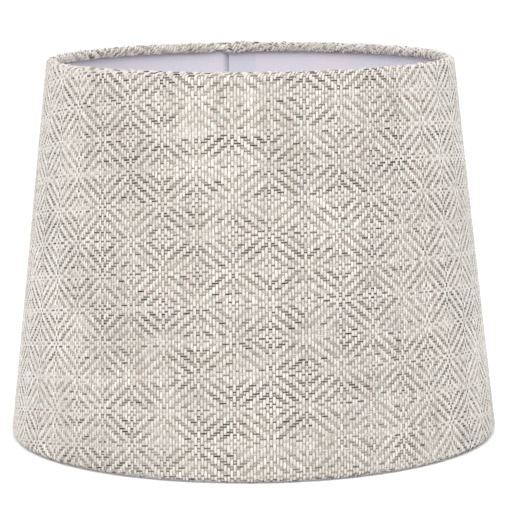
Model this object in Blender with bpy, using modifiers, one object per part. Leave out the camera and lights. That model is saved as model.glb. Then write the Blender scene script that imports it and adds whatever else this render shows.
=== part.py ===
"""A tapered drum lamp shade: woven cloth over a white backing sheet, on two wire rings.

The cloth and its backing sheet are rolled into a cone and lapped at the back. The cloth's
hems are rolled round the two wire rings. Three arms carry the lampholder ring above the
bottom ring, and a plastic reducer ring drops into it.

Metres, +Z up. The origin is on the shade's axis, level with its bottom rim. The seam is
at the back, towards +Y.
"""

import math

import bmesh
import bpy
from mathutils import Vector

# Overall size, measured over the cloth
BOTTOM_DIAMETER = 0.300
TOP_DIAMETER = 0.249
HEIGHT = 0.231

# Sheets
CLOTH_THICKNESS = 0.0010
BACKING_THICKNESS = 0.0004
TAPE_THICKNESS = 0.0002
TAPE_WIDTH = 0.012

# Wires
RING_WIRE = 0.0035
ARM_WIRE = 0.0030

# Lampholder ring and reducer ring
HOLDER_OUTER_DIAMETER = 0.058
HOLDER_HOLE_DIAMETER = 0.0425
HOLDER_THICKNESS = 0.0015
HOLDER_HEIGHT = 0.040
REDUCER_FLANGE_DIAMETER = 0.050
REDUCER_HOLE_DIAMETER = 0.029
REDUCER_FLANGE_THICKNESS = 0.0018
REDUCER_SPIGOT_DEPTH = 0.0040
REDUCER_PLAY = 0.0004

# Clearances
GAP = 0.0003
NOTCH_GAP = 0.0006

# Seam: angles in degrees from the back, clockwise seen from above
INNER_END = -6.56
OUTER_END = 1.75
RAMP_ANGLE = 9.0
HEM_BUTT_ANGLE = 0.25
BACKING_SHORT_ANGLE = 0.8

# How far the backing sheet's edges stay from the folds where the hems leave the wall
BACKING_SETBACK = 0.0005

# Arms
ARM_ANGLES = (30.0, 150.0, 270.0)
ARM_FOOT = 0.010
ARM_SEAT = 0.005
ARM_BEND = 0.012

# Facets
ROUND_STEPS = 60
HEM_FACET = 30.0
HEM_FACETS = 9
SMALL_ROUND_STEPS = 48

TOP_RADIUS = TOP_DIAMETER / 2
BOTTOM_RADIUS = BOTTOM_DIAMETER / 2
RING_RADIUS = RING_WIRE / 2
STEP_ANGLE = 360.0 / ROUND_STEPS

# The hem lies round a ring's wire, so each ring's centre is this far inside its rim
HEM_INNER = RING_RADIUS + GAP
HEM_OUTER = HEM_INNER + CLOTH_THICKNESS
BOTTOM_RING_Z = HEM_OUTER
TOP_RING_Z = HEIGHT - HEM_OUTER
SLOPE = (BOTTOM_RADIUS - TOP_RADIUS) / (TOP_RING_Z - BOTTOM_RING_Z)
SLANT = math.hypot(1.0, SLOPE)

BACKING_DEPTH = CLOTH_THICKNESS + GAP
RING_DEPTH = BACKING_DEPTH + BACKING_THICKNESS + GAP + RING_RADIUS
LAP_RISE = CLOTH_THICKNESS + TAPE_THICKNESS + BACKING_THICKNESS + 3 * GAP


def wall_radius(z, depth):
    """Radius at a height, at a depth below the cloth's outer face."""
    return BOTTOM_RADIUS - SLOPE * (z - BOTTOM_RING_Z) - depth * SLANT


BOTTOM_RING_RADIUS = wall_radius(BOTTOM_RING_Z, RING_DEPTH)
TOP_RING_RADIUS = wall_radius(TOP_RING_Z, RING_DEPTH)


def new_collection(name):
    collection = bpy.data.collections.new(name)
    bpy.context.scene.collection.children.link(collection)
    return collection


def make_material(name, colour, roughness, metallic=0.0):
    material = bpy.data.materials.new(name)
    material.use_nodes = True
    shader = material.node_tree.nodes["Principled BSDF"]
    shader.inputs["Base Color"].default_value = (*colour, 1.0)
    shader.inputs["Roughness"].default_value = roughness
    shader.inputs["Metallic"].default_value = metallic
    return material


def add_object(name, data, collection, material=None):
    obj = bpy.data.objects.new(name, data)
    collection.objects.link(obj)
    if material:
        data.materials.append(material)
    return obj


def place(radius, angle, z):
    """Point at a radius and a plan angle in degrees, counter-clockwise from +X."""
    turn = math.radians(angle)
    return Vector((radius * math.cos(turn), radius * math.sin(turn), z))


def on_facet(radius, angle):
    """Radius at an angle of a round that has ROUND_STEPS flat sides."""
    half = math.radians(STEP_ANGLE / 2)
    along = math.radians(angle % STEP_ANGLE) - half
    return radius * math.cos(half) / math.cos(along)


# The sheets are rolled clockwise from their inner end, at the back, to their outer end,
# which laps over it. An angle along a sheet is counted from the inner end.
START_ANGLE = 90.0 - INNER_END
LAP_START = 360.0
LAP_END = 360.0 + OUTER_END - INNER_END
HEM_END = LAP_START - HEM_BUTT_ANGLE
RAMP_START = HEM_END - RAMP_ANGLE


def lap_offset(along):
    """How far the sheets rise at the seam, so that the outer end passes over the inner."""
    share = (along - RAMP_START) / (HEM_END - RAMP_START)
    return LAP_RISE * min(max(share, 0.0), 1.0)


def sheet_angles(first, last):
    """Angles along a sheet: one at each facet edge, and one at each end and fold."""
    angles = {first, last}
    angles.update(angle for angle in (RAMP_START, HEM_END) if first < angle < last)
    for index in range(-ROUND_STEPS, ROUND_STEPS + 1):
        along = START_ANGLE - index * STEP_ANGLE
        if first < along < last and all(abs(along - other) > 0.05 for other in angles):
            angles.add(along)
    return sorted(angles)


def hem_corners(ring_radius, ring_z, side):
    """The corners of a hem's inner face, from the wall to the raw edge.

    The hem is a row of flats round the ring's wire, and side is +1 at the top ring
    and -1 at the bottom ring.
    """
    first_flat = math.radians(HEM_FACET)
    wall = wall_radius(ring_z, CLOTH_THICKNESS) - ring_radius
    run = math.sin(first_flat) - side * SLOPE * math.cos(first_flat)
    short = (wall * math.cos(first_flat) - HEM_INNER) / run
    corners = [(ring_radius + wall + side * SLOPE * short, ring_z - side * short)]
    reach = HEM_INNER / math.cos(math.radians(HEM_FACET / 2))
    for index in range(HEM_FACETS):
        turn = math.radians((index + 1.5) * HEM_FACET)
        out = reach * math.cos(turn)
        up = side * reach * math.sin(turn)
        corners.append((ring_radius + out, ring_z + up))
    return corners


def setback_heights(setback):
    """The lowest and highest level of a sheet that stops short of the hems' folds."""
    low_fold = hem_corners(BOTTOM_RING_RADIUS, BOTTOM_RING_Z, -1)[0]
    high_fold = hem_corners(TOP_RING_RADIUS, TOP_RING_Z, 1)[0]
    return low_fold[1] + setback, high_fold[1] - setback


def rolled_sheet(name, profile, wall_rows, angles, thickness, collection, material):
    """A grid of angles by profile points, rolled round the axis and given its thickness.

    Only the wall's rows rise at the lap. Past HEM_END the hems are notched away.
    """
    mesh = bpy.data.meshes.new(name)
    sheet = bmesh.new()
    columns = len(angles)
    bmesh.ops.create_grid(sheet, x_segments=columns - 1, y_segments=len(profile) - 1, size=1.0)
    sheet.verts.ensure_lookup_table()
    notched = []
    for index, corner in enumerate(sheet.verts):
        row, column = divmod(index, columns)
        radius, z = profile[row]
        along = angles[column]
        rise = lap_offset(along) if row in wall_rows else 0.0
        angle = START_ANGLE - along
        corner.co = place(on_facet(radius, angle) + rise, angle, z)
        if row not in wall_rows and along > HEM_END:
            notched.append(corner)
    bmesh.ops.delete(sheet, geom=notched, context="VERTS")
    bmesh.ops.reverse_faces(sheet, faces=sheet.faces)
    sheet.to_mesh(mesh)
    sheet.free()
    obj = add_object(name, mesh, collection, material)
    solidify = obj.modifiers.new("Thickness", "SOLIDIFY")
    solidify.thickness = thickness
    solidify.offset = 1.0
    solidify.use_even_offset = True
    return obj


def make_cloth(collection, cutters):
    """The cover: one cloth, with a hem rolled round each ring."""
    bottom_hem = hem_corners(BOTTOM_RING_RADIUS, BOTTOM_RING_Z, -1)
    top_hem = hem_corners(TOP_RING_RADIUS, TOP_RING_Z, 1)
    profile = bottom_hem[::-1] + top_hem
    wall_rows = (HEM_FACETS, HEM_FACETS + 1)
    material = make_material("cover_cloth", (0.63, 0.58, 0.53), 0.9)
    angles = sheet_angles(0.0, LAP_END)
    cloth = rolled_sheet("cover_fabric", profile, wall_rows, angles, CLOTH_THICKNESS,
                         collection, material)
    cloth.data.shade_smooth()
    for cutter in cutters:
        cut = cloth.modifiers.new("Arm notch", "BOOLEAN")
        cut.operation = "DIFFERENCE"
        cut.solver = "EXACT"
        cut.object = cutter
    return cloth


def make_backing(collection):
    """The white backing sheet inside the cloth, which stops short of both hems."""
    material = make_material("backing_sheet", (0.54, 0.51, 0.53), 0.55)
    depth = BACKING_DEPTH + BACKING_THICKNESS
    profile = [(wall_radius(z, depth), z) for z in setback_heights(BACKING_SETBACK)]
    angles = sheet_angles(0.0, LAP_END - BACKING_SHORT_ANGLE)
    return rolled_sheet("backing_sheet", profile, (0, 1), angles, BACKING_THICKNESS,
                        collection, material)


def make_seam_tape(collection):
    """The double-sided tape in the lap, between the cloth's inner end and the backing's outer."""
    material = make_material("seam_tape", (0.75, 0.74, 0.70), 0.5)
    profile = [(wall_radius(z, -GAP), z) for z in setback_heights(2 * BACKING_SETBACK)]
    middle = (OUTER_END - INNER_END - BACKING_SHORT_ANGLE) / 2
    half_width = math.degrees(TAPE_WIDTH / 2 / wall_radius(HEIGHT / 2, 0.0))
    angles = sheet_angles(middle - half_width, middle + half_width)
    return rolled_sheet("seam_tape", profile, (0, 1), angles, TAPE_THICKNESS,
                        collection, material)


def make_ring(name, radius, z, collection, material):
    """A wire hoop, butt-welded into a circle."""
    bpy.ops.mesh.primitive_torus_add(major_segments=ROUND_STEPS, minor_segments=10,
                                     major_radius=radius, minor_radius=RING_RADIUS,
                                     location=(0.0, 0.0, z))
    ring = bpy.context.object
    ring.name = name
    ring.data.name = name
    ring.data.materials.append(material)
    ring.data.shade_smooth()
    for holder in list(ring.users_collection):
        holder.objects.unlink(ring)
    collection.objects.link(ring)
    return ring


def turned(name, outline, collection, material):
    """A turned piece. Its outline runs down the outer side and up the inner side."""
    mesh = bpy.data.meshes.new(name)
    profile = bmesh.new()
    corners = [profile.verts.new((radius, 0.0, z)) for radius, z in outline]
    for index, corner in enumerate(corners):
        profile.edges.new((corner, corners[(index + 1) % len(corners)]))
    profile.to_mesh(mesh)
    profile.free()
    obj = add_object(name, mesh, collection, material)
    screw = obj.modifiers.new("Turn", "SCREW")
    screw.steps = SMALL_ROUND_STEPS
    screw.render_steps = SMALL_ROUND_STEPS
    screw.use_merge_vertices = True
    screw.merge_threshold = 0.00001
    return obj


def make_lampholder_ring(collection, material):
    """The flat pressed ring that sits on a lampholder's shoulder."""
    outer = HOLDER_OUTER_DIAMETER / 2
    hole = HOLDER_HOLE_DIAMETER / 2
    top = HOLDER_HEIGHT
    bottom = HOLDER_HEIGHT - HOLDER_THICKNESS
    outline = [(outer, top), (outer, bottom), (hole, bottom), (hole, top)]
    return turned("lampholder_ring", outline, collection, material)


def make_reducer_ring(collection):
    """The push-in plastic ring that fits the hole to a narrower lampholder."""
    material = make_material("reducer_plastic", (0.80, 0.79, 0.76), 0.4)
    flange = REDUCER_FLANGE_DIAMETER / 2
    spigot = HOLDER_HOLE_DIAMETER / 2 - REDUCER_PLAY
    hole = REDUCER_HOLE_DIAMETER / 2
    seat = HOLDER_HEIGHT + GAP
    top = seat + REDUCER_FLANGE_THICKNESS
    chamfer = REDUCER_FLANGE_THICKNESS / 3
    outline = [
        (flange - chamfer, top),
        (flange, top - chamfer),
        (flange, seat),
        (spigot, seat),
        (spigot, seat - REDUCER_SPIGOT_DEPTH + chamfer),
        (spigot - chamfer, seat - REDUCER_SPIGOT_DEPTH),
        (hole, seat - REDUCER_SPIGOT_DEPTH),
        (hole, top),
    ]
    return turned("reducer_ring", outline, collection, material)


def rounded_route(corners, bend, steps):
    """A route through corners, with each inner corner rounded over a length of bend."""
    route = [corners[0]]
    for before, corner, after in zip(corners, corners[1:], corners[2:]):
        start = corner + (before - corner).normalized() * bend
        end = corner + (after - corner).normalized() * bend
        for index in range(steps + 1):
            t = index / steps
            route.append(start.lerp(corner, t).lerp(corner.lerp(end, t), t))
    route.append(corners[-1])
    return route


def make_arm(name, angle, collection, material):
    """An arm: a wire from the bottom ring, up and in to the lampholder ring's underside."""
    seat_z = HOLDER_HEIGHT - HOLDER_THICKNESS - GAP - ARM_WIRE / 2
    foot = BOTTOM_RING_RADIUS - HEM_INNER
    corners = [
        place(foot, angle, BOTTOM_RING_Z),
        place(foot - ARM_FOOT, angle, BOTTOM_RING_Z),
        place(HOLDER_OUTER_DIAMETER / 2 + ARM_FOOT, angle, seat_z),
        place(HOLDER_OUTER_DIAMETER / 2 - ARM_SEAT, angle, seat_z),
    ]
    route = rounded_route(corners, min(ARM_BEND, ARM_FOOT * 0.8), 5)
    curve = bpy.data.curves.new(name, "CURVE")
    curve.dimensions = "3D"
    curve.bevel_depth = ARM_WIRE / 2
    curve.bevel_resolution = 2
    curve.use_fill_caps = True
    spline = curve.splines.new("POLY")
    spline.points.add(len(route) - 1)
    for point, position in zip(spline.points, route):
        point.co = (*position, 1.0)
    return add_object(name, curve, collection, material)


def make_notch_cutter(angle, collection):
    """The snip in the bottom hem that lets an arm through, open to the hem's raw edge."""
    width = ARM_WIRE + 2 * NOTCH_GAP
    depth = HEM_OUTER + NOTCH_GAP
    bottom = BOTTOM_RING_Z - ARM_WIRE / 2 - NOTCH_GAP
    top = BOTTOM_RING_Z + HEM_OUTER + NOTCH_GAP
    bpy.ops.mesh.primitive_cube_add(size=1.0)
    cutter = bpy.context.object
    cutter.name = "hem_notch_cutter"
    cutter.scale = (depth, width, top - bottom)
    cutter.location = place(BOTTOM_RING_RADIUS - depth / 2, angle, (top + bottom) / 2)
    cutter.rotation_euler = (0.0, 0.0, math.radians(angle))
    cutter.hide_render = True
    cutter.display_type = "WIRE"
    for holder in list(cutter.users_collection):
        holder.objects.unlink(cutter)
    collection.objects.link(cutter)
    return cutter


def main():
    for obj in list(bpy.data.objects):
        bpy.data.objects.remove(obj, do_unlink=True)
    parts = new_collection("lamp_shade")
    tools = new_collection("cutters")
    wire = make_material("coated_wire", (0.78, 0.77, 0.75), 0.35, 0.0)
    make_ring("bottom_ring", BOTTOM_RING_RADIUS, BOTTOM_RING_Z, parts, wire)
    make_ring("top_ring", TOP_RING_RADIUS, TOP_RING_Z, parts, wire)
    for number, angle in enumerate(ARM_ANGLES, start=1):
        make_arm(f"spider_arm_{number}", angle, parts, wire)
    make_lampholder_ring(parts, wire)
    make_reducer_ring(parts)
    cutters = [make_notch_cutter(angle, tools) for angle in ARM_ANGLES]
    make_backing(parts)
    make_cloth(parts, cutters)
    make_seam_tape(parts)


main()
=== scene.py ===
"""The looks of a tapered drum lamp shade: diamond twill cloth on a white lining.

The cloth is cut flat as part of a ring, with its warps upright at the front, and rolled
into a cone. Its yarns are laid on it one by one, where the weave brings them to its face.
Sizes are in millimetres, and one factor turns them to metres. The camera and the lights
are in metres.
"""

import math

import bmesh
import bpy
import numpy as np
from mathutils import Matrix, Vector


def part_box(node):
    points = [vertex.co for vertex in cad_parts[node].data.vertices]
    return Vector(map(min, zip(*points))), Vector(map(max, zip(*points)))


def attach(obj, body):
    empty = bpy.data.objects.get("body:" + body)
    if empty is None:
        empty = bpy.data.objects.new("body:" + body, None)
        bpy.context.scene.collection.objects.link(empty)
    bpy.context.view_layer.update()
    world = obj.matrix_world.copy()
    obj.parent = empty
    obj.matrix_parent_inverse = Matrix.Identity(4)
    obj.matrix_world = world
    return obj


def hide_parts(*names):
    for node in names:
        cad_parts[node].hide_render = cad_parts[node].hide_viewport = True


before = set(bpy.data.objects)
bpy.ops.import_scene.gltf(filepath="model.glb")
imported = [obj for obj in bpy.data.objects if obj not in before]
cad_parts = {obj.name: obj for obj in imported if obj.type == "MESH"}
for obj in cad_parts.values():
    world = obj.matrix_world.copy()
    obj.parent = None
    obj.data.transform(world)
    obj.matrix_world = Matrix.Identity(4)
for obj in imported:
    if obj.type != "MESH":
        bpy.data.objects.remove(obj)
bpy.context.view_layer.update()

MM = 0.001

# Sheets and wires
WIRE = 3.5
CLOTH = 1.0
GAP = 0.3
LINING = 0.4
LINING_SETBACK = 1.0
YARN_RELIEF = 0.5
GROUND_DEPTH = 0.34
GROUND_THICKNESS = 0.3

# Hems: how many degrees the cloth rolls round its hoop, how unevenly its yarns lie there, and
# how far they lean round in the top roll, which changes from one end of the cloth to the other
HEM_TURN = 306.0
HEM_STEPS = 60
HEM_ROUGHNESS = 0.5
HEM_TWIST = 0.66
HEM_TWIST_CHANGE = 0.25

# Seam: angles in degrees from the front, positive towards +X. The lining's outer end stops
# short of the cloth's.
INNER_END = 186.56
OUTER_END = -181.75
LINING_SHORT = 0.8
LAP_FULL = -173.7
LAP_START = -171.2

# What stands out at the seam: the lap with its folded edge, the knot in the top hem, and the
# ridge in the lining. The places and widths of the knot and the ridge are angles.
LAP_RISE = 2.4
FOLD_WIDTH = 1.3
FOLD_DROP = 1.1
KNOT_HEIGHT = 0.9
KNOT_OFFSET = 2.0
KNOT_WIDTH = 2.6
RIDGE_HEIGHT = 0.12
RIDGE_WIDTH = 0.35

# Weave: distances between yarns and the sizes of what shows of them
WARP_PITCH = 1.879
WARP_MIRROR = 11
WARP_START = 9.97
PICK_PITCH = 1.567
PICK_BREAK = 1.99
PICK_MIRROR = 12
PICK_START = 19.25
WEFT_SLOPE = 0.0375
WARP_WIDTH = 1.62
WEFT_WIDTH = 0.76

# A yarn's heights over, between and under the yarns it crosses, and how much it is domed
WARP_CREST = (0.50, 0.22, -0.12)
WARP_DOME = 0.50
WEFT_CREST = (0.42, 0.12, -0.30)
WEFT_DOME = 0.36

# A yarn's four points across, as shares of its width, and which of them are raised
ACROSS = np.array([-0.5, -0.24, 0.24, 0.5])
DOME = np.array([0.0, 1.0, 1.0, 0.0])

# The yarns' map: strips of one tone each, and how it runs along a yarn
TONES = 48
STRIP_SHARE = 0.7
MAP_LENGTH = 9
MAP_STEP = 0.37
MAP_TURN = 7

PANELS = 6

# Fitter and arms
HOLDER_HOLE = 42.5
REDUCER_HOLE = 29.0
REDUCER_FLANGE = 1.8
REDUCER_PLAY = 0.4
REDUCER_WALL = 1.6
REDUCER_WEB = 2.2
ARM_WIRE = 3.0
ARM_ANGLES = (30.0, 150.0, 270.0)
ARM_NOTCH = 2.3
ARM_NOTCH_TURN = 140.0
ARM_FOOT = 10.0
ARM_SHOULDER = 10.0
ARM_SEAT = 5.0
ARM_BEND = 8.0
WELD_RADIUS = 1.9

# The yarns of the bottom hem reach a little below the cloth, so the floor lies lower
FLOOR_DROP = 0.8


def linear(hex_colour):
    """An sRGB hex colour as the linear numbers that a shader takes."""
    values = [int(hex_colour[i:i + 2], 16) / 255 for i in (1, 3, 5)]
    return [v / 12.92 if v <= 0.04045 else ((v + 0.055) / 1.055) ** 2.4 for v in values] + [1.0]


# The shade's shape, from the frame

def hoop_place(node):
    """The radius and height of a hoop's centre line."""
    low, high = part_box(node)
    return np.array([high.x / MM - WIRE / 2, (low.z + high.z) / 2 / MM])


bottom_hoop = hoop_place("bottom_ring")
top_hoop = hoop_place("top_ring")
cone_angle = math.atan2(bottom_hoop[0] - top_hoop[0], top_hoop[1] - bottom_hoop[1])
wall_offset = CLOTH + 2 * GAP + LINING + WIRE / 2 - YARN_RELIEF
roll_radius = WIRE / 2 + GAP + CLOTH - YARN_RELIEF


def hem_roll(hoop, side, turns):
    """Places and outward directions on the roll of a hem, for turns in radians from the wall."""
    angles = cone_angle + side * turns
    facing = np.stack([np.cos(angles), np.sin(angles)], 1)
    ease = np.where(turns < np.pi / 2, np.cos(turns) ** 2, 0.0)
    reach = roll_radius + (wall_offset - roll_radius) * ease
    return hoop + facing * reach[:, None], facing


def cloth_section():
    """The cloth's section: distance along it, place and outward direction.

    The distance is 0 where the wall meets the bottom roll.
    """
    turns = np.linspace(0.0, math.radians(HEM_TURN), HEM_STEPS)
    low, low_facing = hem_roll(bottom_hoop, -1, turns)
    high, high_facing = hem_roll(top_hoop, 1, turns)
    places = np.concatenate([low[::-1], high])
    facing = np.concatenate([low_facing[::-1], high_facing])
    along = np.concatenate([[0.0], np.cumsum(np.linalg.norm(np.diff(places, axis=0), axis=1))])
    return along - along[HEM_STEPS - 1], places, facing


section_along, section_places, section_facing = cloth_section()
wall_length = float(section_along[HEM_STEPS])
hem_low = float(section_along[0])
hem_high = float(section_along[-1])
base_radius = float(section_places[HEM_STEPS - 1][0])
apex_distance = base_radius / math.sin(cone_angle)
roll_quarter = roll_radius * math.pi / 2


def to_flat(angle, along):
    """Flat place of a point that lies at an angle in degrees and a distance up the cloth."""
    spread = np.radians(angle) * math.sin(cone_angle)
    reach = apex_distance - along
    return reach * np.sin(spread), apex_distance - reach * np.cos(spread)


def from_flat(x, y):
    """Angle in degrees and distance up the cloth of a flat place."""
    spread = np.arctan2(x, apex_distance - y)
    return np.degrees(spread) / math.sin(cone_angle), apex_distance - np.hypot(x, apex_distance - y)


def smooth(value):
    """An eased step from 0 to 1."""
    value = np.clip(value, 0.0, 1.0)
    return value * value * (3 - 2 * value)


def lap(angle, along):
    """How far the cloth stands out at the seam, where its outer end laps over the inner."""
    rise = LAP_RISE * smooth((LAP_START - angle) / (LAP_START - LAP_FULL))
    to_end = np.radians(angle - OUTER_END) * base_radius
    share = np.clip(1 - to_end / FOLD_WIDTH, 0.0, 1.0)
    rise = rise - FOLD_DROP * (1 - np.sqrt(1 - share ** 2)) * (angle < LAP_FULL)
    outside = np.maximum(-along, along - wall_length)
    return rise * (1 - smooth(outside / roll_quarter))


def knot(angle, along):
    """The lump in the top roll over the seam."""
    from_back = np.where(angle > 0, 180 - angle, -180 - angle)
    lump = KNOT_HEIGHT * np.exp(-((from_back + KNOT_OFFSET) / KNOT_WIDTH) ** 2)
    return lump * smooth((along - wall_length) / roll_quarter)


def lie(angle, along, height):
    """Places in metres of points on the cloth: an angle, a distance up it and a height off it."""
    inside = np.clip(along, hem_low, hem_high)
    radius, level, out, up = (
        np.interp(inside, section_along, values)
        for values in (*section_places.T, *section_facing.T)
    )
    off = height + lap(angle, along) + knot(angle, along)
    radius = radius + out * off
    level = level + up * off
    twist = HEM_TWIST - HEM_TWIST_CHANGE * angle / 180
    turn = np.radians(angle) + twist * np.maximum(along - wall_length, 0) / top_hoop[0]
    return np.stack([radius * np.sin(turn), -radius * np.cos(turn), level], -1) * MM


def cut_away(angle, along):
    """Where there is no cloth: past its ends, at the notched corners and round the arms."""
    gone = (angle < OUTER_END) | (angle > INNER_END) | (along < hem_low) | (along > hem_high)
    gone |= (angle < LAP_FULL) & ((along < -GAP) | (along > wall_length + GAP))
    inner_side = along < -roll_radius * math.radians(ARM_NOTCH_TURN)
    for arm in ARM_ANGLES:
        apart = (angle - (arm + 90) + 180) % 360 - 180
        gone |= inner_side & (np.abs(np.radians(apart)) * bottom_hoop[0] < ARM_NOTCH)
    return gone


# Building pieces

def link_object(name, data):
    """A new object in the scene."""
    made = bpy.data.objects.new(name, data)
    bpy.context.scene.collection.objects.link(made)
    return made


def finish_piece(piece, material, replaces=(), body="shade"):
    """Smooths a piece, gives it its material and its body, and hides the CAD nodes it stands for.
    """
    piece.data.shade_smooth()
    piece.data.materials.append(material)
    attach(piece, body)
    if replaces:
        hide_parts(*replaces)


def grid_mesh(name, columns, rows):
    """A flat grid of columns by rows of points, as a mesh, ready to be laid by a formula."""
    mesh = bpy.data.meshes.new(name)
    shape = bmesh.new()
    bmesh.ops.create_grid(shape, x_segments=columns - 1, y_segments=rows - 1, size=1.0)
    shape.to_mesh(mesh)
    shape.free()
    return mesh


def face_grid(mesh, columns):
    """The row and column of each face of a grid mesh, from its first corner."""
    corners = np.zeros(len(mesh.loops), np.int32)
    mesh.loops.foreach_get("vertex_index", corners)
    first = corners.reshape(-1, 4).min(1)
    return first // columns, first % columns, corners.reshape(-1, 4)


def keep_faces(mesh, kept):
    """Removes the faces that aren't kept, and the points that only they used."""
    shape = bmesh.new()
    shape.from_mesh(mesh)
    dropped = [face for face, keep in zip(shape.faces, kept) if not keep]
    bmesh.ops.delete(shape, geom=dropped, context="FACES")
    shape.to_mesh(mesh)
    shape.free()


def rolled_sheet(name, angles, alongs, height, thickness, material, replaces):
    """A sheet rolled on the shade's cone and thickened inwards."""
    columns, rows = len(angles), len(alongs)
    mesh = grid_mesh(name, columns, rows)
    angle, along = np.tile(angles, rows), np.repeat(alongs, columns)
    mesh.vertices.foreach_set("co", lie(angle, along, height(angle, along)).ravel())
    row, column, corners = face_grid(mesh, columns)
    flat_x, flat_y = to_flat(angle, along)
    flat = mesh.uv_layers.new(name="Flat")
    places = np.stack([flat_x, flat_y], 1)[corners.ravel()] * MM
    flat.uv.foreach_set("vector", places.ravel())
    middle_angle = (angles[column] + angles[column + 1]) / 2
    middle_along = (alongs[row] + alongs[row + 1]) / 2
    keep_faces(mesh, ~cut_away(middle_angle, middle_along))
    piece = link_object(name, mesh)
    solid = piece.modifiers.new("Thickness", "SOLIDIFY")
    solid.thickness = thickness * MM
    solid.offset = -1.0
    finish_piece(piece, material, replaces)
    return piece


# Materials. A noise's scale is how many of its patches lie in a metre, so 1.5 / MM is 1.5 to
# the millimetre.

def add_node(tree, kind, settings=(), links=()):
    """Adds a node, sets its properties and inputs, and links sockets into its inputs."""
    node = tree.nodes.new(kind)
    for key, value in dict(settings).items():
        if isinstance(key, str) and hasattr(node, key):
            setattr(node, key, value)
        else:
            node.inputs[key].default_value = value
    for key, socket in dict(links).items():
        tree.links.new(socket, node.inputs[key])
    return node


def new_material(name, roughness, colour="#FFFFFF", **inputs):
    """A material with its shader, and the uniform values set on the shader's own sockets."""
    material = bpy.data.materials.new(name)
    material.use_nodes = True
    tree = material.node_tree
    shader = tree.nodes["Principled BSDF"]
    shader.inputs["Base Color"].default_value = linear(colour)
    shader.inputs["Roughness"].default_value = roughness
    for key, value in inputs.items():
        shader.inputs[key.replace("_", " ")].default_value = value
    return material, tree, shader


def ramp(tree, factor, stops):
    """A colour ramp through (place, hex colour) stops."""
    node = add_node(tree, "ShaderNodeValToRGB", {}, {"Fac": factor})
    points = node.color_ramp.elements
    while len(points) < len(stops):
        points.new(0.5)
    for point, (place, colour) in zip(points, stops):
        point.position = place
        point.color = linear(colour)
    return node


def yarn_material(name, stops, sheen):
    """Spun yarn: soft and matt, with fine fibres that wind round it.

    The map's strips give each float its tone, and its length carries the fibres.
    """
    material, tree, shader = new_material(
        name, 0.85, Sheen_Weight=sheen, Sheen_Roughness=0.5, Specular_IOR_Level=0.25)
    coordinates = add_node(tree, "ShaderNodeUVMap", {"uv_map": "OFBake"})
    parts = add_node(tree, "ShaderNodeSeparateXYZ", {}, {"Vector": coordinates.outputs["UV"]})
    tones = ramp(tree, parts.outputs["X"], stops)
    laid = add_node(tree, "ShaderNodeMapping", {}, {"Vector": coordinates.outputs["UV"]})
    laid.inputs["Scale"].default_value = (TONES * 2.3, 7.0, 1.0)
    laid.inputs["Rotation"].default_value = (0, 0, math.radians(28))
    fibres = add_node(tree, "ShaderNodeMapping", {}, {"Vector": laid.outputs["Vector"]})
    fibres.inputs["Scale"].default_value = (4.5, 0.8, 1.0)
    noise = add_node(tree, "ShaderNodeTexNoise", {"Scale": 1.0, "Detail": 3.0},
                     {"Vector": fibres.outputs["Vector"]})
    shade = ramp(tree, noise.outputs["Fac"], ((0.3, "#CFCBC6"), (0.62, "#FFFFFF")))
    mixed = add_node(tree, "ShaderNodeMix", {"data_type": "RGBA", "blend_type": "MULTIPLY"})
    mixed.inputs["Factor"].default_value = 1.0
    tree.links.new(tones.outputs["Color"], mixed.inputs["A"])
    tree.links.new(shade.outputs["Color"], mixed.inputs["B"])
    tree.links.new(mixed.outputs["Result"], shader.inputs["Base Color"])
    bump = add_node(tree, "ShaderNodeBump", {"Strength": 0.35, "Distance": 0.0002},
                    {"Height": noise.outputs["Fac"]})
    tree.links.new(bump.outputs["Normal"], shader.inputs["Normal"])
    return material


def ground_material():
    """The body of the cloth, seen only in the gaps between its yarns: cream with painted shade,
    darkest in painted stripes between the warps.
    """
    material, tree, shader = new_material("woven_ground_painted_shade", 0.95)
    coordinates = add_node(tree, "ShaderNodeUVMap", {"uv_map": "Flat"})
    parts = add_node(tree, "ShaderNodeSeparateXYZ", {}, {"Vector": coordinates.outputs["UV"]})
    warp = add_node(tree, "ShaderNodeMath", {"operation": "MULTIPLY_ADD"},
                    {0: parts.outputs["X"]})
    warp.inputs[1].default_value = 1 / (WARP_PITCH * MM)
    warp.inputs[2].default_value = 0.5 - WARP_START / WARP_PITCH
    across = add_node(tree, "ShaderNodeMath", {"operation": "FRACT"}, {0: warp.outputs["Value"]})
    # Painted shade: the cream darkens towards the gaps between the warps.
    tones = ramp(tree, across.outputs["Value"], (
        (0.0, "#8D857B"), (0.2, "#B5ADA4"), (0.5, "#C4BCB2"), (0.8, "#B5ADA4"), (1.0, "#8D857B")))
    tree.links.new(tones.outputs["Color"], shader.inputs["Base Color"])
    return material


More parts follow.
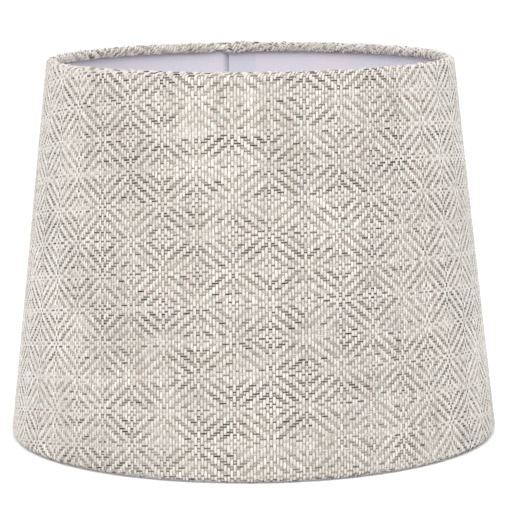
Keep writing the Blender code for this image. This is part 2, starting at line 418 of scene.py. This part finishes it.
def lining_material():
    """Laminating sheet: white plastic film, satin, with a lavender tint and a faint mottle from
    bluish to pinkish that are painted light coming through the cloth.

    It has painted shade, a little darker and bluer, where its two ends lap and less light comes
    through both layers.
    """
    material, tree, shader = new_material("laminating_sheet_painted_light", 0.5)
    coordinates = add_node(tree, "ShaderNodeUVMap", {"uv_map": "Flat"})
    # Painted light: a lavender tint, mottled from bluish to pinkish, for light that comes through
    # the cloth.
    noise = add_node(tree, "ShaderNodeTexNoise", {"Scale": 0.028 / MM, "Detail": 4.0},
                     {"Vector": coordinates.outputs["UV"]})
    tones = ramp(tree, noise.outputs["Fac"], ((0.3, "#C6C8D2"), (0.5, "#CCC8D1"), (0.7, "#D1C9D0")))
    parts = add_node(tree, "ShaderNodeSeparateXYZ", {}, {"Vector": coordinates.outputs["UV"]})
    reach = add_node(tree, "ShaderNodeMath", {"operation": "SUBTRACT", 0: apex_distance * MM},
                     {1: parts.outputs["Y"]})
    spread = add_node(tree, "ShaderNodeMath", {"operation": "ARCTAN2"},
                      {0: parts.outputs["X"], 1: reach.outputs["Value"]})
    # Painted shade where the ends lap: the double layer lets less light through, so it is darker
    # and bluer.
    lap_edge = math.radians(360 + OUTER_END) * math.sin(cone_angle)
    double = add_node(tree, "ShaderNodeMath", {"operation": "GREATER_THAN", 1: lap_edge},
                      {0: spread.outputs["Value"]})
    shaded = add_node(tree, "ShaderNodeMix", {"data_type": "RGBA", "blend_type": "MULTIPLY"},
                      {"Factor": double.outputs["Value"]})
    shaded.inputs["B"].default_value = linear("#F4F9FA")
    tree.links.new(tones.outputs["Color"], shaded.inputs["A"])
    tree.links.new(shaded.outputs["Result"], shader.inputs["Base Color"])
    fine = add_node(tree, "ShaderNodeTexNoise", {"Scale": 0.9 / MM, "Detail": 2.0},
                    {"Vector": coordinates.outputs["UV"]})
    bump = add_node(tree, "ShaderNodeBump", {"Strength": 0.12, "Distance": 0.0001},
                    {"Height": fine.outputs["Fac"]})
    tree.links.new(bump.outputs["Normal"], shader.inputs["Normal"])
    return material


def speckled_material(name, roughness, scale, detail, tones, bump=None, **inputs):
    """A material with a fine speckle in its tone, and in its surface if it has a bump."""
    material, tree, shader = new_material(name, roughness, **inputs)
    coordinates = add_node(tree, "ShaderNodeTexCoord")
    noise = add_node(tree, "ShaderNodeTexNoise", {"Scale": scale, "Detail": detail},
                     {"Vector": coordinates.outputs["Object"]})
    colours = ramp(tree, noise.outputs["Fac"], ((0.3, tones[0]), (0.7, tones[1])))
    tree.links.new(colours.outputs["Color"], shader.inputs["Base Color"])
    if bump:
        relief = add_node(tree, "ShaderNodeBump", {"Strength": bump[0], "Distance": bump[1]},
                          {"Height": noise.outputs["Fac"]})
        tree.links.new(relief.outputs["Normal"], shader.inputs["Normal"])
    return material


def coated_steel_material():
    """Powder-coated steel: white, satin, with the coat's fine orange peel."""
    return speckled_material("powder_coated_steel", 0.38, 1.5 / MM, 2.0,
                             ("#CFCCC6", "#DAD7D1"), (0.15, 0.0001))


def moulded_plastic_material():
    """Moulded polypropylene: white, slightly glossy, with a faint sparked texture."""
    return speckled_material("moulded_polypropylene", 0.32, 2.5 / MM, 1.0,
                             ("#BEBBB5", "#C6C3BE"), (0.1, 0.00005), IOR=1.49)


def tape_material():
    """Double-sided tape: a milky film with its glue."""
    return speckled_material("double_sided_tape", 0.45, 0.3 / MM, 2.0, ("#D6D2C6", "#E4E1D8"))


# The weave

def warp_phase(numbers):
    """Which of the twill's four steps each warp takes. The order turns back at each mirror."""
    folded = np.abs((numbers + WARP_MIRROR) % (2 * WARP_MIRROR) - WARP_MIRROR)
    return np.select([folded == 0, folded == WARP_MIRROR], [3, 0], folded % 4)


def pick_phase(numbers):
    """Which of the twill's four steps each pick takes."""
    folded = np.abs((numbers + PICK_MIRROR) % (2 * PICK_MIRROR) - PICK_MIRROR)
    return np.select([folded == 0, folded == PICK_MIRROR], [0, 2], (folded + 1) % 4)


def pick_level(numbers):
    """The level of each pick at the cloth's middle. Picks part a little at the mirrors."""
    repeat = 2 * PICK_MIRROR
    turn = (numbers + PICK_MIRROR) // repeat
    folded = numbers - turn * repeat
    inner = np.minimum(np.abs(folded), PICK_MIRROR - 1)
    level = inner * PICK_PITCH + (PICK_BREAK - PICK_PITCH) * (inner > 0)
    level = level + (PICK_BREAK * (np.abs(folded) == PICK_MIRROR))
    half = (PICK_MIRROR - 1) * PICK_PITCH + 2 * PICK_BREAK - PICK_PITCH
    return PICK_START + turn * 2 * half + np.sign(folded) * level


def weft_shows(warps, picks):
    """Whether the weft is on the cloth's face where these warps and picks cross."""
    return (warp_phase(warps) - pick_phase(picks)) % 4 < 2


def with_middles(values):
    """The values with the mean of each neighbouring pair set between them."""
    both = np.empty(2 * len(values) - 1)
    both[::2] = values
    both[1::2] = (values[:-1] + values[1:]) / 2
    return both


def blend(knots, count, reach):
    """Values between knots that lie reach apart, eased from each to the next."""
    place = np.arange(count) / reach
    low = place.astype(int)
    share = smooth(place - low)
    return knots[:, low] * (1 - share) + knots[:, low + 1] * share


def wander(random, yarns, stations, reach):
    """Smooth random numbers along each yarn, from -1 to 1, that turn over within reach."""
    return blend(random.uniform(-1, 1, (yarns, stations // reach + 3)), stations, reach)


def patches(random, yarns, stations, yarn_reach, reach):
    """Smooth random numbers from -1 to 1 that neighbouring yarns share."""
    knots = random.uniform(-1, 1, (yarns // yarn_reach + 3, stations // reach + 3))
    return blend(blend(knots, stations, reach).T, yarns, yarn_reach).T


def float_starts(state, whole):
    """For each yarn and station, the station where the float there began."""
    shows = state >= 0 if whole else state > 0
    begins = shows[:, 1:] & ~shows[:, :-1]
    starts = np.zeros(state.shape, int)
    starts[:, 1:] = np.where(begins, np.arange(1, state.shape[1]), 0)
    return np.maximum.accumulate(starts, axis=1)


def tone_map(mesh, tone, row, corner_row, corner_column):
    """Gives each face its strip of the map, by its tone, and its own stretch along it."""
    strip = np.floor(tone.clip(0, 0.999) * TONES)
    u = (strip[:, None] + 0.5 + STRIP_SHARE * ACROSS[corner_column % 4]) / TONES
    shift = (row * MAP_STEP % MAP_TURN)[:, None]
    v = (corner_row - row[:, None] + shift + 0.5) / MAP_LENGTH
    layer = mesh.uv_layers.new(name="OFBake")
    layer.uv.foreach_set("vector", np.stack([u, v], -1).ravel())


def yarn_floats(name, state, yarn_place, width, crest, dome, tone, rough, whole, material):
    """A set of parallel yarns: whole, or only where they show on the cloth's face.

    state is +1, 0 or -1 for each yarn and station, as the yarn lies over, between or under.
    yarn_place gives the flat place of a point from its yarn, its station and its place
    across the yarn. Each yarn is a strip of four points across, cut into its floats, and
    each float has the tone that the yarn has at its start.
    """
    yarns, stations = state.shape
    columns = 4 * yarns
    mesh = grid_mesh(name, columns, stations)
    yarn = np.tile(np.repeat(np.arange(yarns), 4), stations)
    across = np.tile(np.arange(4), yarns * stations)
    station = np.repeat(np.arange(stations), columns)
    here = state[yarn, station]
    x, y = yarn_place(yarn, station, ACROSS[across] * width[yarn, station])
    height = np.select([here > 0, here < 0], [crest[0], crest[2]], crest[1])
    angle, along = from_flat(x, y)
    on_hem = smooth(np.maximum(-along, along - wall_length) / roll_quarter)
    height = height - dome * (1 - DOME[across]) + HEM_ROUGHNESS * on_hem * rough[yarn, station]
    mesh.vertices.foreach_set("co", lie(angle, along, height).ravel())

    row, column, corners = face_grid(mesh, columns)
    owner = column // 4
    ends = state[owner, row] + state[owner, row + 1]
    kept = (column % 4 < 3) & (whole | (ends > 0))
    kept &= ~cut_away(angle, along)[corners].any(1)
    starts = float_starts(state, whole)
    own_tone = tone[owner, starts[owner, row + 1]]
    tone_map(mesh, own_tone, row, corners // columns, corners % columns)
    keep_faces(mesh, kept)
    piece = link_object(name, mesh)
    finish_piece(piece, material)
    return piece


def over_and_under(shows):
    """+1 and -1 at each crossing, with 0 set between where the yarn goes through."""
    signs = np.where(shows, 1.0, -1.0)
    return np.stack([with_middles(line) for line in signs])


def cloth_yarns():
    """The numbers of all the cloth's warps and picks, from where its flat corners lie."""
    angles = np.linspace(OUTER_END, INNER_END, 200)
    corners = [to_flat(angles, edge) for edge in (hem_low, hem_high)]
    x = np.concatenate([corner[0] for corner in corners])
    y = np.concatenate([corner[1] for corner in corners]) - WEFT_SLOPE * x
    repeat = pick_level(2 * PICK_MIRROR) - pick_level(0)
    warps = (np.array([x.min(), x.max()]) - WARP_START) / WARP_PITCH
    picks = (np.array([y.min(), y.max()]) - PICK_START) / repeat * 2 * PICK_MIRROR
    return (np.arange(math.floor(warps[0]), math.ceil(warps[1]) + 1),
            np.arange(math.floor(picks[0]) - 2, math.ceil(picks[1]) + 3))


def panel_warps(index, warps):
    """The first and last of one panel's warps, counted from the cloth's first."""
    edges = np.linspace(0, len(warps) - 1, PANELS + 1).round().astype(int)
    return edges[index], edges[index + 1]


def make_warps(index, material):
    """One panel's warps: thick cream yarns that nearly touch."""
    random = np.random.default_rng(11)
    warps, picks = cloth_yarns()
    first, last = panel_warps(index, warps)
    own = slice(first, last)
    centres = (WARP_START + warps * WARP_PITCH)[own]
    levels = with_middles(pick_level(picks).astype(float))
    state = over_and_under(~weft_shows(warps[:, None], picks[None]))
    stations = len(levels)
    sway = (0.12 * wander(random, len(warps), stations, 7))[own]
    width = (WARP_WIDTH * (1 + 0.07 * wander(random, len(warps), stations, 5)))[own]

    def place(yarn, station, off):
        x = centres[yarn] + sway[yarn, station] + off
        return x, levels[station] + WEFT_SLOPE * x

    tone = 0.5 + 0.2 * patches(random, len(warps), stations, 8, 40)
    tone = tone + random.normal(0, 0.08, (len(warps), 1)) + random.normal(0, 0.16, state.shape)
    rough = wander(random, *state.shape, 3)
    return yarn_floats(f"warp_yarns_{index + 1}", state[own], place, width,
                       WARP_CREST, WARP_DOME, tone[own], rough[own], True, material)


def make_wefts(index, material):
    """One panel's wefts: thinner flecked yarns that show as short dashes."""
    random = np.random.default_rng(12)
    warps, picks = cloth_yarns()
    first, last = panel_warps(index, warps)
    own = slice(2 * first, 2 * last + 1)
    levels = pick_level(picks)
    state = over_and_under(weft_shows(warps[None], picks[:, None]))
    shape = state.shape
    sway = (0.22 * wander(random, *shape, 7))[:, own]
    width = (WEFT_WIDTH * (1 + 0.22 * wander(random, *shape, 9)))[:, own]
    tone = 0.53 + 0.24 * patches(random, *shape, 10, 20) + 0.34 * wander(random, *shape, 16)
    tone = (tone + random.normal(0, 0.12, shape))[:, own]
    centres = with_middles(WARP_START + warps * WARP_PITCH)[own]

    def place(yarn, station, off):
        x = centres[station]
        return x, levels[yarn] + sway[yarn, station] + off + WEFT_SLOPE * x

    rough = wander(random, *shape, 3)
    return yarn_floats(f"weft_yarns_{index + 1}", state[:, own], place, width,
                       WEFT_CREST, WEFT_DOME, tone, rough[:, own], False, material)


def make_cover():
    """The cloth: its ground, a sheet rolled on the cone, and the yarns on its face."""
    ground = rolled_sheet(
        "cover_cloth",
        np.linspace(OUTER_END, INNER_END, 361),
        np.concatenate([
            np.linspace(hem_low, 0, 25)[:-1],
            np.linspace(0, wall_length, 31),
            np.linspace(wall_length, hem_high, 25)[1:],
        ]),
        lambda angle, along: np.full_like(angle, -GROUND_DEPTH),
        GROUND_THICKNESS,
        ground_material(),
        ["cover_fabric"],
    )
    cream = yarn_material("cream_cotton_yarn", (
        (0.0, "#C1BAB4"), (0.2, "#CFC8C3"), (0.35, "#CECBC5"), (0.5, "#D9D2CE"),
        (0.65, "#D6D3CD"), (0.8, "#E0DBD6"), (1.0, "#E5E2DD")), 0.15)
    flecked = yarn_material("flecked_linen_yarn", (
        (0.0, "#3B322C"), (0.14, "#57534C"), (0.28, "#766A60"), (0.42, "#8C877E"),
        (0.56, "#A6988F"), (0.7, "#B1ADA5"), (0.85, "#C5BCB4"), (1.0, "#D2CEC8")), 0.1)
    yarns = [make(index, material) for index in range(PANELS)
             for make, material in ((make_warps, cream), (make_wefts, flecked))]


def make_lining():
    """The laminating sheet, which stops short of the hems and laps at the back."""
    depth = CLOTH + GAP - YARN_RELIEF
    start, end = OUTER_END + LINING_SHORT, INNER_END
    low, high = LINING_SETBACK, wall_length - LINING_SETBACK
    angles = np.concatenate([
        np.linspace(start, -160, 45)[:-1],
        np.linspace(-160, 172, 250)[:-1],
        np.linspace(172, end, 60),
    ])

    def height(angle, along):
        """The cloth's inner face, with a faint ridge where the outer end lies beneath."""
        ridge = RIDGE_HEIGHT * np.exp(-((angle - (360 + OUTER_END)) / RIDGE_WIDTH) ** 2)
        return -depth + ridge

    lining = rolled_sheet("lining", angles, np.linspace(low, high, 25), height, LINING,
                          lining_material(), ["backing_sheet"])


# The fitter

def turned_piece(name, outline, corner, material, replaces, body="shade"):
    """A piece turned round the axis from an outline of (radius, height) with round corners."""
    shape = bmesh.new()
    corners = [shape.verts.new((r * MM, 0, z * MM)) for r, z in rounded(outline, corner)]
    edges = [shape.edges.new((a, b)) for a, b in zip(corners, corners[1:] + corners[:1])]
    bmesh.ops.spin(shape, geom=corners + edges, axis=(0, 0, 1), cent=(0, 0, 0),
                   angle=math.tau, steps=128, use_merge=True)
    bmesh.ops.remove_doubles(shape, verts=shape.verts, dist=1e-6)
    bmesh.ops.recalc_face_normals(shape, faces=shape.faces)
    mesh = bpy.data.meshes.new(name)
    shape.to_mesh(mesh)
    shape.free()
    finish_piece(link_object(name, mesh), material, replaces, body)


def rounded(outline, radius, steps=4):
    """A closed outline with its corners rounded."""
    points = []
    count = len(outline)
    for index in range(count):
        before, here, after = (Vector(outline[(index + k) % count]) for k in (-1, 0, 1))
        bend = min(radius, (before - here).length * 0.45, (after - here).length * 0.45)
        start = here + (before - here).normalized() * bend
        end = here + (after - here).normalized() * bend
        for step in range(steps + 1):
            t = step / steps
            points.append(start.lerp(here, t).lerp(here.lerp(end, t), t))
    return [tuple(point) for point in points]


def make_fitter(steel, plastic):
    """The lampholder ring, and the reducer ring that drops into it."""
    low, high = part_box("lampholder_ring")
    outer, bottom, top = high.x / MM, low.z / MM, high.z / MM
    hole = HOLDER_HOLE / 2
    ring = [(outer, top), (outer, bottom), (hole, bottom), (hole, top)]
    turned_piece("fitter_ring", ring, 0.5, steel, ["lampholder_ring"])
    low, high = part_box("reducer_ring")
    flange, base, top = high.x / MM, low.z / MM, high.z / MM
    seat, web = top - REDUCER_FLANGE, top - REDUCER_WEB
    spigot, bore = hole - REDUCER_PLAY, REDUCER_HOLE / 2
    reducer = [
        (flange, top), (flange, seat), (spigot, seat), (spigot, base),
        (spigot - REDUCER_WALL, base), (spigot - REDUCER_WALL, web),
        (bore + REDUCER_WALL, web), (bore + REDUCER_WALL, base), (bore, base), (bore, top),
    ]
    turned_piece("reducer", reducer, 0.45, plastic, ["reducer_ring"], "reducer")


def arm_route(angle):
    """An arm's centre line, from the bottom hoop to under the lampholder ring."""
    holder_low, holder_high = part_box("lampholder_ring")
    seat_level = holder_low.z / MM - GAP - ARM_WIRE / 2
    rim = holder_high.x / MM
    foot = bottom_hoop[0] - WIRE / 2 - GAP
    level = bottom_hoop[1]
    corners = [(foot, level), (foot - ARM_FOOT, level), (rim + ARM_SHOULDER, seat_level),
               (rim - ARM_SEAT, seat_level)]
    route = [corners[0]]
    for before, here, after in zip(corners, corners[1:], corners[2:]):
        before, here, after = Vector(before), Vector(here), Vector(after)
        start = here + (before - here).normalized() * ARM_BEND
        end = here + (after - here).normalized() * ARM_BEND
        for step in range(9):
            t = step / 8
            route.append(start.lerp(here, t).lerp(here.lerp(end, t), t))
    route.append(corners[-1])
    turn = math.radians(angle)
    return [(r * math.cos(turn) * MM, r * math.sin(turn) * MM, z * MM) for r, z in route]


def make_arm(number, angle, steel):
    """A spider arm: a bent wire with a bead of weld at each end."""
    curve = bpy.data.curves.new(f"arm_{number}", "CURVE")
    curve.dimensions = "3D"
    curve.bevel_depth = ARM_WIRE / 2 * MM
    curve.bevel_resolution = 6
    curve.use_fill_caps = True
    spline = curve.splines.new("POLY")
    route = arm_route(angle)
    spline.points.add(len(route) - 1)
    for point, place in zip(spline.points, route):
        point.co = (*place, 1.0)
    made = link_object(f"arm_{number}_route", curve)
    bpy.context.view_layer.update()
    evaluated = made.evaluated_get(bpy.context.evaluated_depsgraph_get())
    mesh = bpy.data.meshes.new_from_object(evaluated)
    bpy.data.objects.remove(made)
    shape = bmesh.new()
    shape.from_mesh(mesh)
    bmesh.ops.remove_doubles(shape, verts=shape.verts, dist=1e-6)
    for place, spread in ((route[0], 0.7), (route[-1], 0.9)):
        bead = bmesh.ops.create_uvsphere(shape, u_segments=20, v_segments=12,
                                         radius=WELD_RADIUS * MM)
        turn = Matrix.Rotation(math.radians(angle), 4, "Z")
        bmesh.ops.scale(shape, verts=bead["verts"], vec=(spread, 1.15, 0.8))
        bmesh.ops.transform(shape, verts=bead["verts"], matrix=Matrix.Translation(place) @ turn)
    shape.to_mesh(mesh)
    shape.free()
    mesh.name = f"arm_{number}"
    mesh.materials.clear()
    arm = link_object(f"arm_{number}", mesh)
    finish_piece(arm, steel, [f"spider_arm_{number}"])


# The studio

def make_camera():
    """A long lens a little above the shade, looking slightly down."""
    pitch = math.radians(8.767)
    roll = math.radians(-0.536)
    forward = Vector((0, math.cos(pitch), -math.sin(pitch)))
    right = Vector((1, 0, 0))
    up = right.cross(forward)
    across = right * math.cos(roll) + up * math.sin(roll)
    upright = up * math.cos(roll) - right * math.sin(roll)
    data = bpy.data.cameras.new("camera")
    data.sensor_width = 36.0
    data.lens = 182.16
    data.shift_x = 0.0048
    data.shift_y = 0.0050
    data.clip_end = 50.0
    camera = link_object("camera", data)
    turn = Matrix((across, upright, -forward)).transposed().to_4x4()
    camera.matrix_world = Matrix.Translation((0, -1.5736, 0.3493)) @ turn
    bpy.context.scene.camera = camera


def add_light(name, place, aim, size, power, colour):
    """A square soft light that faces a point, itself unseen."""
    data = bpy.data.lights.new(name, "AREA")
    data.size = size
    data.energy = power
    data.color = colour
    light = link_object(name, data)
    light.location = place
    light.visible_camera = False
    light.rotation_euler = (Vector(aim) - Vector(place)).to_track_quat("-Z", "Y").to_euler()


def make_floor():
    """The floor: matt white paint, which takes a soft shadow and no shine."""
    mesh = bpy.data.meshes.new("floor")
    shape = bmesh.new()
    bmesh.ops.create_grid(shape, x_segments=1, y_segments=1, size=15.0)
    shape.to_mesh(mesh)
    shape.free()
    floor = link_object("floor", mesh)
    floor.location.z = -FLOOR_DROP * MM
    mesh.materials.append(new_material("matt_paint", 0.9, "#FAFAFA")[0])


def make_studio():
    """An even white surround, two soft lights above, and a faint one that fills the inside."""
    world = bpy.data.worlds.new("surround")
    world.use_nodes = True
    surround = world.node_tree.nodes["Background"]
    surround.inputs["Color"].default_value = (0.935, 0.973, 1, 1)
    surround.inputs["Strength"].default_value = 1.08
    bpy.context.scene.world = world
    add_light("front_light", (-0.2, -1.75, 2.15), (0, 0, 0.12), 2.4, 49, (1, 0.955, 0.9))
    add_light("top_light", (0.3, 0.3, 2.4), (0, 0, 0.1), 2.0, 10, (1, 0.98, 0.95))
    add_light("inner_light", (0, 0, 0.05), (0, 0, 1), 0.14, 0.16, (1, 0.97, 0.98))
    bpy.context.scene.view_settings.view_transform = "Standard"


def paint_node(node, material):
    """Gives a CAD node that stays in view its finished material."""
    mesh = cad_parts[node].data
    mesh.materials.clear()
    mesh.materials.append(material)


make_camera()
make_floor()
make_studio()
steel = coated_steel_material()
make_lining()
make_cover()
for number, angle in enumerate(ARM_ANGLES, start=1):
    make_arm(number, angle, steel)
make_fitter(steel, moulded_plastic_material())
for node in ("top_ring", "bottom_ring"):
    paint_node(node, steel)
paint_node("seam_tape", tape_material())
